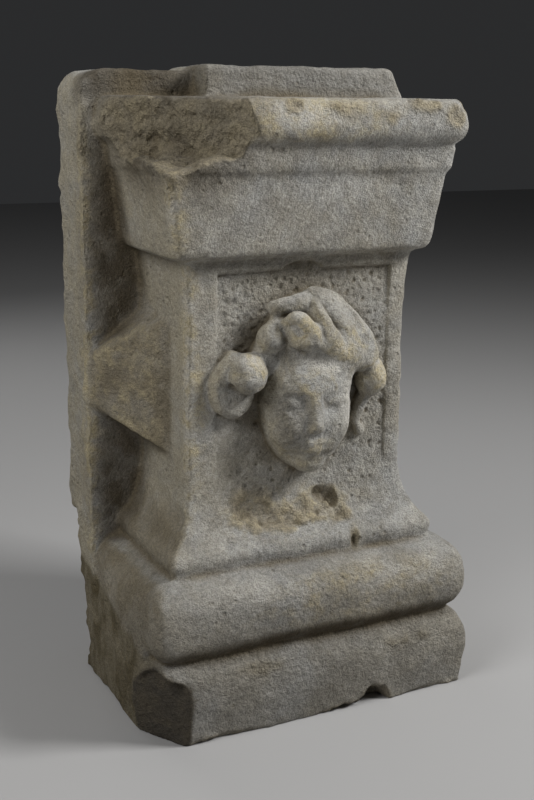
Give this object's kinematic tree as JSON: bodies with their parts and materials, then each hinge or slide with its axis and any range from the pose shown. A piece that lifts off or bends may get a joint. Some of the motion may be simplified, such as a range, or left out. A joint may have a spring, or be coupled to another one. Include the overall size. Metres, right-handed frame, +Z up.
{
  "type": "stone plinth",
  "caption": "Small carved stone plinth with a moulded base and broken cornice, a sunk front panel holding a worn relief head, and a flat rear slab.",
  "frame": {"origin": "middle of the underside, on the surface the plinth stands on", "axes": "+Z up, -Y out of the carved front, +X to the right of someone who faces the front"},
  "size_m": [0.346, 0.25, 0.62],
  "materials": {
    "stone": "weathered, fine-grained, matt, with ochre staining"
  },
  "bodies": {
    "root": {"carved_plinth": "stone"}
  },
  "joints": []
}
